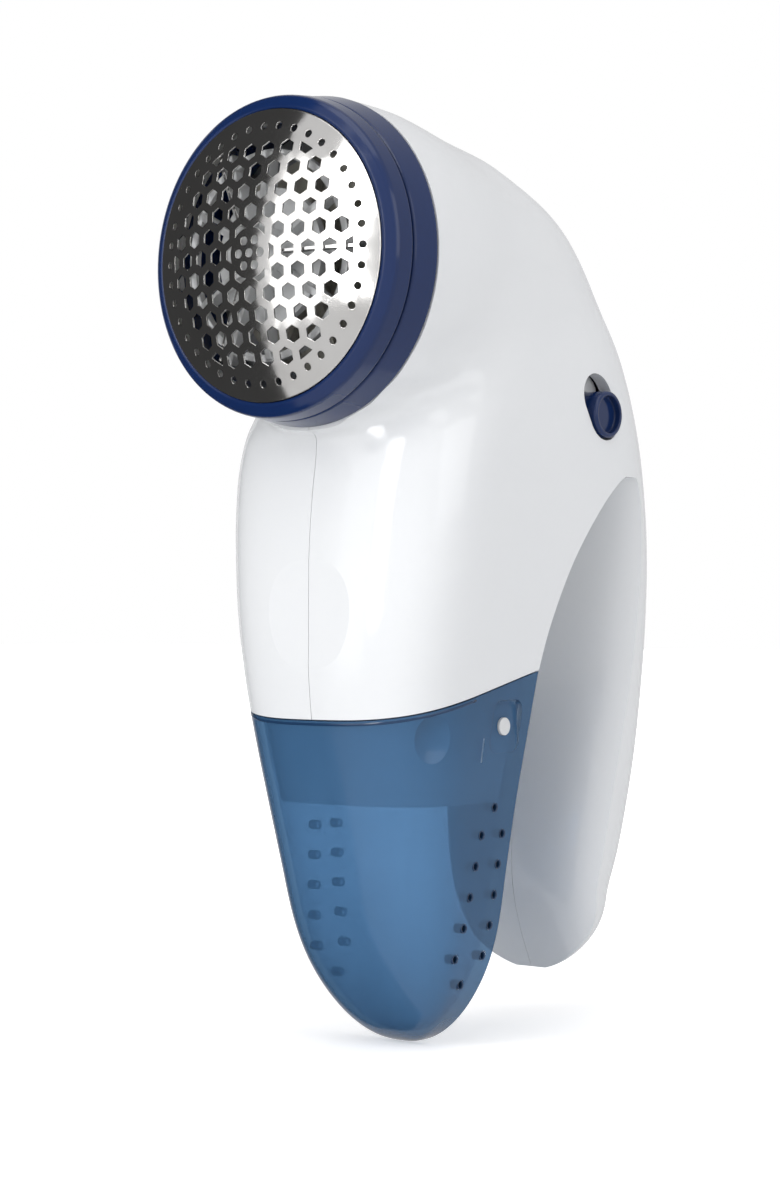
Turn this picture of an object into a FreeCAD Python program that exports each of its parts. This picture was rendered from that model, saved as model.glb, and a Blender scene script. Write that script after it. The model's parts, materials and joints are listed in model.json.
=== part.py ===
import FreeCAD, Part
import math
import os
os.makedirs("parts", exist_ok=True)

# Battery fabric shaver, millimetres.
# Working frame: x across (switch side positive), y = depth behind the foil apex,
# z = height above the lowest point of the lint box. Every part is moved by -Y_MID on export.

V = FreeCAD.Vector

# ---- driving dimensions -------------------------------------------------------------------
HEAD_Z = 136.0          # height of the cutting axis
Y_MID = 49.0            # half of the overall depth
WALL = 2.2              # shell wall
SEAM = 0.10             # gap between the two shells
RING_BACK = 15.2        # depth of the collar's rear face
SHELL_FRONT = 15.35     # depth where the shells start
PIVOT_Y = -30.0         # line the slanted head sections turn about
PIVOT_Z = 97.0

# body stations: (height, value)
FRONT = [(46, 18.6), (56, 16.5), (66, 15.4), (76, 15.0), (86, 15.4), (96, 16.2), (103, 17.4),
         (109, 19.6), (116, 24.5), (128, 33.0), (150, 40.0)]
BACK = [(8, 84.5), (12, 87.5), (21, 91.5), (34, 95.3), (48, 97.6), (66, 97.8), (85, 96.4),
        (100, 94.0), (112, 91.6), (122, 89.2), (132, 85.2), (142, 77.5), (150, 66.0), (158, 47.0)]
WIDTH = [(8, 13.5), (16, 16.3), (27, 18.2), (45, 20.3), (59, 22.3), (77, 24.8), (94, 26.4),
         (108, 26.5), (120, 25.0), (132, 22.0), (142, 18.6), (150, 14.4), (158, 8.5)]
BARREL = [(-40, 28.4), (8, 28.4), (18, 28.2), (27, 27.4), (39, 25.2), (50, 22.7), (60, 19.9),
          (67, 17.2), (73, 13.6), (78, 9.0), (82, 3.5)]
TIP_Z = 9.2             # lowest point of the handle
TIP_ROUND = 13.0        # height of the rounded handle tip
TIP_Y = 81.5
FRONT_CORNER = 20.0     # depth of the rounded front corners
BACK_CORNER = 28.0      # depth of the rounded back
FRONT_POWER = 3.0
BACK_POWER = 2.4
BLEND = 7.0             # softness of the crease between head and trunk

# finger slot
SLOT_TRUNK = [(-20, 44.0), (30, 46.6), (58, 49.2), (66, 50.0), (74, 52.0), (84, 56.4), (91, 61.2),
              (96, 65.6), (99, 69.0), (100.4, 71.2), (101, 72.6)]
SLOT_HANDLE = [(-20, 90.0), (6, 82.5), (10, 79.4), (14.7, 77.2), (19.5, 75.3), (24, 74.0),
               (30, 73.4), (45, 74.4), (63, 76.2), (80, 76.9), (91, 76.9), (96, 76.4), (99, 75.4),
               (100.4, 74.4), (101, 73.6)]
SLOT_TOP = 101.0
SLOT_FLARE = 5.0        # softness of the handle's inner corners

# parting line between the white body and the lint box
PART_Y0 = 17.0
PART_Z0 = 58.0
PART_SLOPE = 0.25
PART_GAP = 0.25

# lint box
BOX_FRONT = [(0, 30.8), (16, 26.6), (27, 23.6), (36, 21.2), (46, 18.6), (56, 16.5), (66, 15.4),
             (76, 15.0)]
BOX_WIDTH = [(0, 14.6), (16, 16.7), (27, 18.2), (45, 20.3), (59, 22.3), (77, 24.8)]
BOX_REAR = [(0, 45.0), (16, 46.0), (34, 47.0), (58, 49.2), (66, 50.0), (76, 51.6)]
BOX_WALL = 1.8
BOX_ROUND = 22.0        # height of the rounded bottom
BOX_BOTTOM_Y = 42.3
NECK_CLEAR = 0.40
DIMPLE_Y = 26.0
DIMPLE_Z = 53.3
LATCH_Y = 42.4
LATCH_Z = 56.5
LATCH_HOLE = 1.6
NECK_WALL = 1.5
NECK_BOTTOM = 43.0
NECK_TOP = 76.0

# cutting head
DOME_R = 66.0
FOIL_R = 24.6
FOIL_T = 0.30
HEX_PITCH = 4.0
HEX_FLATS = 2.54
HEX_ZONE_R = 20.1
FOIL_HUB_R = 4.3
RIM_HOLES = 40
RIM_HOLE_R = 21.65
RIM_HOLE_D = 1.28
RING_R = 27.2
RING_IN = 26.0
RING_END = 9.6
COLLAR_FRONT = 10.0
COLLAR_R0 = 27.5
COLLAR_R1 = 28.25
RUN_GAP = 0.08          # running fits on a radius
BLADE_GAP = 0.30
BLADE_R = 20.5
SPRING_R = 2.9           # wave spring: ring radius, wire radius, first ring, ring spacing
SPRING_WIRE = 0.25
SPRING_CREST = 0.15
SPRING_Y = 9.65
SPRING_STEP = 0.85
CONTACT_R = 3.2          # cell springs: ring radius, wire radius, ring spacing, depth below the cells
CONTACT_WIRE = 0.3
CONTACT_STEP = 1.15
CONTACT_DROP = 2.75
SLEEVE_FRONT = 4.15      # leaves room for the cutter's float

# drive
SHAFT_R = 1.0
FAN_R = 19.0
FAN_Y0 = 14.6
FAN_Y1 = 19.4
MOTOR_R = 10.05
MOTOR_FLAT = 7.6
MOTOR_Y0 = 25.0
MOTOR_LEN = 25.0

# cells and switch
CELL_D = 14.5
CELL_L = 50.5
CELL_X = 7.40
CELL_ROOM = 0.25        # clearance round each cell
CELL_Y = 85.7
CELL_Z = 45.0
DOOR_HALF = 15.0
WIRE_Y = 82.6           # where the leads reach the top contact plates
DOOR_Z0 = 41.0
DOOR_Z1 = 98.0
DOOR_GAP = 0.30
SWITCH_Y = 65.3
SWITCH_Z = 113.2
SWITCH_R = 4.2
SWITCH_DIR = (0.42, -0.9075)
SWITCH_TRAVEL = 3.0
SLIDE_X = 21.9           # outer face of the button's slide plate
SLIDE_T = 0.8
TERMINAL_STEP = 3.6
POSTS = [(64.0, 138.0), (51.5, 88.0), (84.0, 110.0), (82.5, 25.0)]
POST_R = 4.2
SCREW_HEAD_R = 2.6
SCREW_R = 1.3


# ---- curves -------------------------------------------------------------------------------
def curve(stations, t):
    """Smooth value at t through (position, value) stations."""
    n = len(stations)
    if t <= stations[0][0]:
        i = 0
    elif t >= stations[-1][0]:
        i = n - 2
    else:
        i = 0
        while stations[i + 1][0] < t:
            i += 1

    def slope(k):
        a = stations[max(k - 1, 0)]
        b = stations[min(k + 1, n - 1)]
        return (b[1] - a[1]) / (b[0] - a[0])

    x0, y0 = stations[i]
    x1, y1 = stations[i + 1]
    if t < x0:
        return y0 + slope(0) * (t - x0)
    if t > x1:
        return y1 + slope(n - 1) * (t - x1)
    h = x1 - x0
    s = (t - x0) / h
    a = (2 * s ** 3 - 3 * s * s + 1) * y0 + (s ** 3 - 2 * s * s + s) * slope(i) * h
    b = (-2 * s ** 3 + 3 * s * s) * y1 + (s ** 3 - s * s) * slope(i + 1) * h
    return a + b


def trunk_field(x, y, z, inset):
    """Negative inside the trunk and handle block."""
    yf = curve(FRONT, z) + inset
    if z < 50.0:
        yf = yf + (50.0 - z) ** 2 * 0.030
    yb = curve(BACK, z) - inset
    w = max(curve(WIDTH, z) - inset, 1.0)
    if z < TIP_Z + TIP_ROUND:
        drop = (TIP_Z + TIP_ROUND - z) / (TIP_ROUND - inset)
        close = math.sqrt(max(1.0 - drop * drop, 0.003))
        yb = TIP_Y + (yb - TIP_Y) * close
        w = max(w * close, 1.0)
    if yb - yf < 2.0:
        return 50.0
    y1 = yf + FRONT_CORNER
    y2 = yb - BACK_CORNER
    if y1 > y2:
        y1 = y2 = yf + (yb - yf) * FRONT_CORNER / (FRONT_CORNER + BACK_CORNER)
    power = FRONT_POWER if y < y1 else BACK_POWER
    if y < y1:
        u = (y1 - y) / (y1 - yf)
    elif y > y2:
        u = (y - y2) / (yb - y2)
    else:
        u = 0.0
    v = abs(x) / w
    return ((u ** power + v ** power) ** (1.0 / power) - 1.0) * w


def barrel_field(x, y, z, inset):
    """Negative inside the tapering head barrel."""
    if y < BARREL[-1][0]:
        r = curve(BARREL, y) - inset
    else:
        r = BARREL[-1][1] - inset - (y - BARREL[-1][0])
    return math.hypot(x, z - HEAD_Z) - r


def body_field(x, y, z, inset):
    a = trunk_field(x, y, z, inset)
    b = barrel_field(x, y, z, inset)
    h = max(BLEND - abs(a - b), 0.0) / BLEND
    return min(a, b) - h * h * BLEND / 4.0


def cast(inside, x0, s0, dx, ds):
    """Distance factor along (dx, ds) at which the point leaves the body."""
    lo = 0.0
    hi = 1.0
    while inside(x0 + dx * hi, s0 + ds * hi) and hi < 64:
        hi *= 1.5
    for k in range(34):
        m = 0.5 * (lo + hi)
        if inside(x0 + dx * m, s0 + ds * m):
            lo = m
        else:
            hi = m
    return lo


def skinned(rings):
    """Solid with one smooth surface through closed rings of points and two flat caps."""
    surface = Part.BSplineSurface()
    surface.interpolate([ring + [ring[0]] for ring in rings])
    side = surface.toShape()
    caps = []
    for edge in side.Edges:
        if edge.isClosed():
            caps.append(Part.Face(Part.Wire([edge])))
    shell = Part.Shell([side] + caps)
    shell.sewShape()
    return Part.Solid(shell)


def open_edge(points):
    c = Part.BSplineCurve()
    n = len(points)
    knots = [i / float(n - 1) for i in range(n)]
    c.interpolate(Points=points, Parameters=knots)
    return c.toShape()


def slice_ring(inset, origin, up, count=44):
    """Outline of the body in the plane through origin holding the x axis and `up`."""

    def inside(x, s):
        return body_field(x, origin[0] + up[0] * s, origin[1] + up[1] * s, inset) < 0

    span = [s * 0.25 for s in range(0, 640) if inside(0.0, s * 0.25)]
    s0 = 0.5 * (span[0] + span[-1])
    half = 0.5 * (span[-1] - span[0]) + 0.12
    wide = cast(inside, 0.0, s0, 1.0, 0.0)
    pts = []
    for i in range(count):
        a = 2 * math.pi * i / count
        dx = wide * math.sin(a)
        ds = -half * math.cos(a)
        k = cast(inside, 0.0, s0, dx, ds)
        s = s0 + ds * k
        pts.append(V(dx * k, origin[0] + up[0] * s, origin[1] + up[1] * s))
    return pts


def body_skin(inset):
    """Outer skin of the white body with the finger slot still filled."""
    rings = []
    for deg in (33, 38, 43, 48, 53, 58, 63, 68, 72, 75, 78, 81, 84, 87, 90):
        a = math.radians(deg)
        rings.append(slice_ring(inset, (PIVOT_Y, PIVOT_Z), (math.sin(a), math.cos(a))))
    low = TIP_Z + inset
    for z in (92, 86, 79, 71, 62, 54, 46, 38, 30, 24):
        rings.append(slice_ring(inset, (0.0, float(z)), (1.0, 0.0)))
    for t in (0.98, 0.72, 0.45, 0.24, 0.10, 0.03):
        z = low + (TIP_ROUND - inset) * t
        rings.append(slice_ring(inset, (0.0, z), (1.0, 0.0)))
    return skinned(rings).cut(Part.makeBox(160, 100, 260, V(-80, SHELL_FRONT - 100, -40)))


# ---- simple solids ------------------------------------------------------------------------
def rod_x(r, x0, x1, y, z):
    return Part.makeCylinder(r, x1 - x0, V(x0, y, z), V(1, 0, 0))


def rod_y(r, y0, y1, x=0.0, z=HEAD_Z):
    return Part.makeCylinder(r, y1 - y0, V(x, y0, z), V(0, 1, 0))


def wave_spring(r, wire, crest, step, turns):
    """Wire rings along Z, each joined to the next where their crests meet."""
    parts = [Part.makeTorus(r, wire, V(0, 0, k * step)) for k in range(turns)]
    for k in range(turns - 1):
        for a in (90 * k, 90 * k + 180):
            post = Part.makeCylinder(crest, step, V(r, 0, k * step))
            post.rotate(V(0, 0, 0), V(0, 0, 1), a)
            parts.append(post)
    return parts[0].fuse(parts[1:])


def box(x0, x1, y0, y1, z0, z1):
    return Part.makeBox(x1 - x0, y1 - y0, z1 - z0, V(x0, y0, z0))


def turned(profile):
    """Solid of revolution about the cutting axis from (depth, radius) pairs."""
    pts = [V(0, d, HEAD_Z + r) for d, r in profile]
    face = Part.Face(Part.makePolygon(pts + [pts[0]]))
    return face.revolve(V(0, 0, HEAD_Z), V(0, 1, 0), 360)


def prism_x(profile, x0, x1):
    """Side profile of (depth, height) pairs swept across x."""
    pts = [V(x0, y, z) for y, z in profile]
    return Part.Face(Part.makePolygon(pts + [pts[0]])).extrude(V(x1 - x0, 0, 0))


def stadium_x(y, z, r, travel, x0, x1):
    """Rounded slot along the switch direction, through x."""
    dy = SWITCH_DIR[0] * travel
    dz = SWITCH_DIR[1] * travel
    nx = -SWITCH_DIR[1]
    nz = SWITCH_DIR[0]
    a = rod_x(r, x0, x1, y - dy / 2, z - dz / 2)
    b = rod_x(r, x0, x1, y + dy / 2, z + dz / 2)
    quad = [(y - dy / 2 + nx * r, z - dz / 2 + nz * r), (y + dy / 2 + nx * r, z + dz / 2 + nz * r),
            (y + dy / 2 - nx * r, z + dz / 2 - nz * r), (y - dy / 2 - nx * r, z - dz / 2 - nz * r)]
    return a.fuse([b, prism_x(quad, x0, x1)]).removeSplitter()


def largest(shape):
    return max(shape.Solids, key=lambda s: s.Volume)


def put(shape, node, single=True):
    if single:
        shape = largest(shape)
    shape = shape.copy()
    shape.translate(V(0, -Y_MID, 0))
    shape.exportStep("parts/" + node + ".step")
    b = shape.BoundBox
    print("%-18s solids %d valid %s vol %9.1f box %.1f %.1f %.1f" % (
        node, len(shape.Solids), shape.isValid(), shape.Volume, b.XLength, b.YLength, b.ZLength))


# ---- finger slot and parting --------------------------------------------------------------
def slot_cutter(grow):
    wires = []
    heights = [-20, -4, 6, 10, 14.7, 19.5, 24, 30, 40, 52, 63, 72, 80, 86, 91, 94, 96.5, 98.5, 100, SLOT_TOP]
    for z in heights:
        zz = z + (grow if z > 60 else 0.0)
        w = curve(WIDTH, max(z, 12.0))
        y0 = curve(SLOT_TRUNK, z) - grow
        yi = curve(SLOT_HANDLE, z) + grow
        pts = []
        for i in range(-8, 9):
            x = (w + 5.0) * i / 8.0
            pts.append(V(x, yi + SLOT_FLARE * (abs(x) / w) ** 6, zz))
        rear = open_edge(pts)
        a = V(pts[0].x, y0, zz)
        b = V(pts[-1].x, y0, zz)
        wires.append(Part.Wire([rear, Part.makeLine(pts[-1], b), Part.makeLine(b, a),
                                Part.makeLine(a, pts[0])]))
    return Part.makeLoft(wires, True, False)


def parting_height(y):
    return PART_Z0 + (y - PART_Y0) * PART_SLOPE


def below_parting(shift, y_end, depth=90.0):
    z0 = parting_height(-10.0) + shift
    z1 = parting_height(y_end) + shift
    return prism_x([(-10.0, z0), (y_end, z1), (y_end, z1 - depth - 20), (-10.0, z0 - depth)],
                   -60, 60)


# ---- lint box shapes ----------------------------------------------------------------------
def box_wire(inset, z):
    """Front and sides rounded, rear flat."""
    s = 1.0
    if z < BOX_ROUND:
        top = BOX_ROUND - inset
        s = math.sqrt(max(1.0 - ((BOX_ROUND - z) / top) ** 2, 0.0))
    yf = BOX_BOTTOM_Y - (BOX_BOTTOM_Y - curve(BOX_FRONT, z) - inset) * s
    w = (curve(BOX_WIDTH, z) - inset) * s ** 0.85
    yr = BOX_BOTTOM_Y + (curve(BOX_REAR, z) - inset - BOX_BOTTOM_Y) * s
    front = min(FRONT_CORNER, (yr - yf) * 0.62)
    pts = [V(-w, yr, z), V(-w, 0.5 * (yr + yf + front), z)]
    for i in range(0, 25):
        a = math.pi * i / 24.0
        c = math.cos(a)
        q = abs(math.sin(a))
        x = -w * math.copysign(abs(c) ** (2.0 / FRONT_POWER), c)
        pts.append(V(x, yf + front - front * q ** (2.0 / FRONT_POWER), z))
    pts += [V(w, 0.5 * (yr + yf + front), z), V(w, yr, z)]
    return Part.Wire([open_edge(pts), Part.makeLine(pts[-1], pts[0])])


def box_block(inset, z0, z1):
    zs = []
    if z0 < BOX_ROUND:
        bottom = inset
        for t in (0.03, 0.10, 0.22, 0.38, 0.58, 0.80, 1.0):
            z = bottom + (BOX_ROUND - bottom) * t * t
            if z >= z0 - 1e-6:
                zs.append(z)
        start = BOX_ROUND
    else:
        zs.append(z0)
        start = z0
    n = 7
    for i in range(1, n + 1):
        zs.append(start + (z1 - start) * i / float(n))
    return Part.makeLoft([box_wire(inset, z) for z in zs], True, False)


def side_point(y, z):
    """Point of the box side (x, y) at a given depth and height."""
    yf = curve(BOX_FRONT, z)
    u = max(yf + FRONT_CORNER - y, 0.0) / FRONT_CORNER
    return curve(BOX_WIDTH, z) * (1.0 - u ** FRONT_POWER) ** (1.0 / FRONT_POWER), y


def lint_box():
    outer = box_block(0.0, 0.0, 76.0)
    inner = box_block(BOX_WALL, BOX_WALL, 77.0)
    above = below_parting(-PART_GAP, 70.0)
    shell = outer.common(above).cut(inner)
    cuts = []
    for side in (-1, 1):
        x0, x1 = (8, 40) if side > 0 else (-40, -8)
        rows = [(42.4, 6.0)]
        for k in range(5):
            z = 37.7 - 5.35 * k
            rows.append((z, 2.7))
            rows.append((z, 8.6 + 0.45 * k))
        rows.append((11.4, 6.4))
        for z, d in rows:
            cuts.append(rod_x(0.85, x0, x1, curve(BOX_REAR, z) - d, z))
        w = curve(BOX_WIDTH, 56.4)
        xa, xb = (w - 0.7, w + 5) if side > 0 else (-w - 5, -w + 0.7)
        pad = box(xa, xb, LATCH_Y - 4.1, LATCH_Y + 4.1, LATCH_Z - 4.6, LATCH_Z + 4.6)
        pad = pad.makeFillet(2.0, [e for e in pad.Edges if abs(e.tangentAt(e.FirstParameter).x) > 0.9])
        cuts.append(pad)
        cuts.append(rod_x(LATCH_HOLE, x0, x1, LATCH_Y, LATCH_Z))
        cuts.append(box(x0, x1, 36.3, 36.75, 50.4, 54.6))
        x, y = side_point(DIMPLE_Y, DIMPLE_Z)
        cuts.append(Part.makeSphere(9.0, V(side * (x + 8.3 * 0.82), y - 8.3 * 0.57, DIMPLE_Z)))
    shell = shell.cut(cuts)
    return largest(shell)


def latch_dots():
    """White catches seen in the middle of the latch recesses."""
    w = curve(BOX_WIDTH, LATCH_Z)
    dots = []
    for x0, x1 in ((w - 1.9, w - 0.3), (-w + 0.3, -w + 1.9)):
        dots.append(rod_x(LATCH_HOLE - 0.06, x0, x1, LATCH_Y, LATCH_Z))
    return Part.makeCompound(dots)


def neck():
    """Tube under the white body that plugs into the lint box."""
    gap = BOX_WALL + NECK_CLEAR
    tube = box_block(gap, NECK_BOTTOM, NECK_TOP)
    seat = box_block(1.2, 50.0, NECK_TOP).cut(below_parting(0.0, 75.0))
    bore = box_block(gap + NECK_WALL, NECK_BOTTOM - 3, NECK_TOP + 2)
    return tube.fuse(seat).cut(bore)


# ---- shells -------------------------------------------------------------------------------
SKIN = body_skin(0.0)
CAVITY = body_skin(WALL)
CORE = body_skin(WALL + 0.35)
SLOT = slot_cutter(0.0)
SLOT_WALL = slot_cutter(WALL)


def door_prism(gap):
    return box(-DOOR_HALF - gap, DOOR_HALF + gap, 84.0, 120.0, DOOR_Z0 - gap, DOOR_Z1 + gap)


def shells():
    hollow = CAVITY.cut(SLOT_WALL)
    body = SKIN.cut([SLOT, below_parting(0.0, 60.0)])
    shell = body.cut(hollow)
    mid_wall = body_skin(0.4 * WALL)
    posts = [rod_x(POST_R, -40, 40, y, z) for y, z in POSTS]
    shell = shell.fuse([post.common(mid_wall) for post in posts])
    plug = neck()
    cuts = [door_prism(DOOR_GAP)] + cell_room()
    for y, z in POSTS:
        cuts.append(rod_x(SCREW_HEAD_R + 0.3, -60, -5.0, y, z))
        cuts.append(rod_x(SCREW_R + 0.15, -6.0, 7.5, y, z))
    cuts.append(stadium_x(SWITCH_Y, SWITCH_Z, SWITCH_R + 0.45, SWITCH_TRAVEL, 12, 60))
    shell = shell.cut(cuts)
    halves = []
    for x0, x1 in ((SEAM / 2, 80), (-80, -SEAM / 2)):
        side = box(x0, x1, -20, 140, -20, 190)
        halves.append(largest(shell.common(side).fuse(plug.common(side))))
    return halves


def cell_room():
    r = CELL_D / 2 + CELL_ROOM
    return [Part.makeCylinder(r, CELL_L + 2.0, V(s * CELL_X, CELL_Y, CELL_Z - 1.0)) for s in (-1, 1)]


def screws():
    parts = []
    for y, z in POSTS:
        head = rod_x(SCREW_HEAD_R, -6.9, -5.0, y, z)
        slot_a = box(-7.2, -6.2, y - 1.5, y + 1.5, z - 0.3, z + 0.3)
        slot_b = box(-7.2, -6.2, y - 0.3, y + 0.3, z - 1.5, z + 1.5)
        parts.append(head.fuse(rod_x(SCREW_R, -5.0, 7.0, y, z)).cut([slot_a, slot_b]))
    return Part.makeCompound(parts)


# ---- cutting head -------------------------------------------------------------------------
def sagitta(r, radius=DOME_R):
    return radius - math.sqrt(radius * radius - r * r)


def foil():
    edge = sagitta(FOIL_R)
    dome = Part.makeSphere(DOME_R, V(0, DOME_R, HEAD_Z))
    dome = dome.cut(Part.makeSphere(DOME_R - FOIL_T, V(0, DOME_R, HEAD_Z)))
    dome = dome.common(rod_y(FOIL_R, -1.0, edge + 1.2))
    skirt = rod_y(FOIL_R, edge - 0.05, 7.3).cut(rod_y(FOIL_R - FOIL_T, -1, 9))
    flange = rod_y(RING_IN - 0.35, 7.0, 7.3).cut(rod_y(FOIL_R - FOIL_T, -1, 9))
    body = dome.fuse([skirt, flange])
    tools = []
    row = HEX_PITCH * math.sqrt(3) / 2
    zone = rod_y(HEX_ZONE_R, -2, 8)
    core = rod_y(FOIL_HUB_R, -3, 9)
    corner = HEX_FLATS / math.sqrt(3)
    for j in range(-5, 6):
        shift = 0.5 if j % 2 else 0.0
        for i in range(-6, 7):
            x = (i + shift) * HEX_PITCH
            z = HEAD_Z + j * row
            r = math.hypot(x, j * row)
            if r < 0.1 or r > HEX_ZONE_R + 0.4:
                continue
            pts = []
            for k in range(7):
                a = math.radians(60 * k + 30)
                pts.append(V(x + corner * math.cos(a), -1.5, z + corner * math.sin(a)))
            hexa = Part.Face(Part.makePolygon(pts)).extrude(V(0, 8.5, 0))
            if r + corner > HEX_ZONE_R:
                hexa = hexa.common(zone)
            if r - corner < FOIL_HUB_R:
                hexa = hexa.cut(core)
            if hexa.Volume > 8.5:
                tools.append(hexa)
    for k in range(RIM_HOLES):
        a = 2 * math.pi * k / RIM_HOLES
        tools.append(rod_y(RIM_HOLE_D / 2, -1, 6.0, RIM_HOLE_R * math.sin(a),
                           HEAD_Z + RIM_HOLE_R * math.cos(a)))
    tools.append(rod_y(0.75, -1.5, 2.5))
    for k in range(6):
        a = math.radians(60 * k)
        tools.append(rod_y(0.75, -1.5, 2.5, 2.4 * math.cos(a), HEAD_Z + 2.4 * math.sin(a)))
    return body.cut(tools)


def foil_ring():
    lip = FOIL_R + 0.12
    front = sagitta(FOIL_R)
    outer = [(front + 0.15, lip), (front + 0.1, lip + 0.5), (5.5, RING_R - 0.75),
             (5.95, RING_R - 0.2), (6.5, RING_R), (RING_END - 0.25, RING_R + 0.3),
             (RING_END, RING_R + 0.1), (RING_END, RING_IN), (6.95, RING_IN), (6.95, lip)]
    return turned(outer)


def foil_clamp():
    r = RING_IN - 0.35
    return turned([(7.35, r), (8.3, r), (8.3, 22.9), (7.35, 22.9)])


def collar_ring():
    spigot = RING_IN - RUN_GAP
    inner = 23.4
    shell_in = 25.6
    return turned([(8.6, inner), (8.6, spigot - 0.3), (8.8, spigot), (COLLAR_FRONT, spigot),
                   (COLLAR_FRONT, COLLAR_R0 - 0.25), (COLLAR_FRONT + 0.25, COLLAR_R0),
                   (RING_BACK - 0.3, COLLAR_R1), (RING_BACK, COLLAR_R1 - 0.2), (RING_BACK, shell_in),
                   (18.6, shell_in), (18.6, inner)])


def cutter_hub():
    """White rotor with three arms, a drive boss and six air vanes."""
    top = DOME_R - FOIL_T - 1.6
    dome = Part.makeSphere(top, V(0, DOME_R, HEAD_Z))
    boss = rod_y(4.6, 0, 9.0)
    disc = rod_y(11.5, 5.2, 6.6)
    parts = [disc]
    for k in range(3):
        a = 60 + 120 * k
        arm = box(-1.5, 1.5, 0.0, 7.0, HEAD_Z + 3.0, HEAD_Z + BLADE_R - 0.6)
        arm.rotate(V(0, 0, HEAD_Z), V(0, 1, 0), a + 30)
        parts.append(arm)
        vane = box(-0.6, 0.6, 3.0, 6.0, HEAD_Z + 4.0, HEAD_Z + 17.5)
        vane.rotate(V(0, 0, HEAD_Z), V(0, 1, 0), a + 62)
        parts.append(vane)
        vane = box(-0.6, 0.6, 3.0, 6.0, HEAD_Z + 4.0, HEAD_Z + 17.5)
        vane.rotate(V(0, 0, HEAD_Z), V(0, 1, 0), a + 118)
        parts.append(vane)
    rim = rod_y(17.9, 4.6, 6.0).cut(rod_y(16.6, 0, 9))
    parts.append(rim)
    hub = boss.fuse(parts).common(dome)
    slots = [blade_plate(k, 0.06) for k in range(3)]
    return hub.cut(slots + [rod_y(2.2 + RUN_GAP, 3.2, 20.0)]).removeSplitter()


def blade_plate(k, grow):
    blade = box(-0.25 - grow, 0.25 + grow, 0.5, 5.4 + grow, HEAD_Z + 5.6 - grow,
                HEAD_Z + BLADE_R + grow)
    blade.rotate(V(0, 0, HEAD_Z), V(0, 1, 0), 60 + 120 * k + 30)
    return blade


def blade(k):
    face = Part.makeSphere(DOME_R - FOIL_T - BLADE_GAP, V(0, DOME_R, HEAD_Z))
    return blade_plate(k, 0.0).common(face)


def cutter_spring():
    """Wave spring behind the cutter."""
    spring = wave_spring(SPRING_R, SPRING_WIRE, SPRING_CREST, SPRING_STEP, 3)
    spring.rotate(V(0, 0, 0), V(1, 0, 0), -90)
    spring.translate(V(0, SPRING_Y, HEAD_Z))
    return spring


# ---- drive train --------------------------------------------------------------------------
def drive_sleeve():
    sleeve = turned([(SLEEVE_FRONT, 0.0), (SLEEVE_FRONT, 2.2), (12.9, 2.2), (12.9, 3.4), (FAN_Y0 + 0.2, 3.4),
                     (FAN_Y0 + 0.2, 0.0)])
    return sleeve.fuse(rod_y(3.6, 12.0, 13.2)).cut(rod_y(SHAFT_R, 6.0, 30.0))


def fan():
    parts = [rod_y(FAN_R, FAN_Y1 - 1.2, FAN_Y1), rod_y(4.4, FAN_Y0 + 0.25, FAN_Y1)]
    for k in range(9):
        vane = box(-0.5, 0.5, FAN_Y0 + 0.6, FAN_Y1 - 1.0, HEAD_Z + 4.0, HEAD_Z + FAN_R - 0.4)
        vane.rotate(V(0, 0, HEAD_Z), V(0, 1, 0), 40 * k)
        parts.append(vane)
    return parts[0].fuse(parts[1:]).cut(rod_y(SHAFT_R, 0, 40)).removeSplitter()


def motor_shaft():
    return rod_y(SHAFT_R, 6.0, MOTOR_Y0 + MOTOR_LEN + 3.4)


def motor_can():
    can = rod_y(MOTOR_R, MOTOR_Y0, MOTOR_Y0 + MOTOR_LEN)
    can = can.common(box(-MOTOR_FLAT, MOTOR_FLAT, 0, 90, 100, 180))
    nose = rod_y(3.0, MOTOR_Y0 - 1.7, MOTOR_Y0 + 0.5)
    return can.fuse(nose).cut(rod_y(SHAFT_R + 0.03, 0, 90)).removeSplitter()


def motor_end_cap():
    y0 = MOTOR_Y0 + MOTOR_LEN
    flats = box(-MOTOR_FLAT + 0.3, MOTOR_FLAT - 0.3, 0, 90, 100, 180)
    cap = rod_y(MOTOR_R - 0.3, y0, y0 + 1.6).common(flats)
    cap = cap.fuse(rod_y(3.2, y0, y0 + 2.8))
    return cap.cut(rod_y(SHAFT_R + 0.03, 0, 90)).removeSplitter()


def motor_terminals():
    y0 = MOTOR_Y0 + MOTOR_LEN + 1.6
    tabs = []
    for s in (-1, 1):
        tab = box(-1.2, 1.2, y0, y0 + 4.2, HEAD_Z + s * 6.6 - 0.2, HEAD_Z + s * 6.6 + 0.2)
        tabs.append(tab.cut(Part.makeCylinder(0.5, 4, V(0, y0 + 3.0, HEAD_Z + s * 6.6 - 2))))
    return Part.makeCompound(tabs)


def motor_cradle():
    bore = rod_y(MOTOR_R + 0.05, 0, 90).common(
        box(-MOTOR_FLAT - 0.05, MOTOR_FLAT + 0.05, 0, 90, 100, 180))
    plates = [box(-30, 30, 28.5, 31.0, 119, 166), box(-30, 30, 42.5, 45.0, 112, 166)]
    rails = [box(8.6, 11.0, 30.0, 43.5, HEAD_Z - 6, HEAD_Z + 6),
             box(-11.0, -8.6, 30.0, 43.5, HEAD_Z - 6, HEAD_Z + 6)]
    frame = plates[0].fuse([plates[1]] + rails)
    return frame.cut(bore).common(CORE).removeSplitter()


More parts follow.
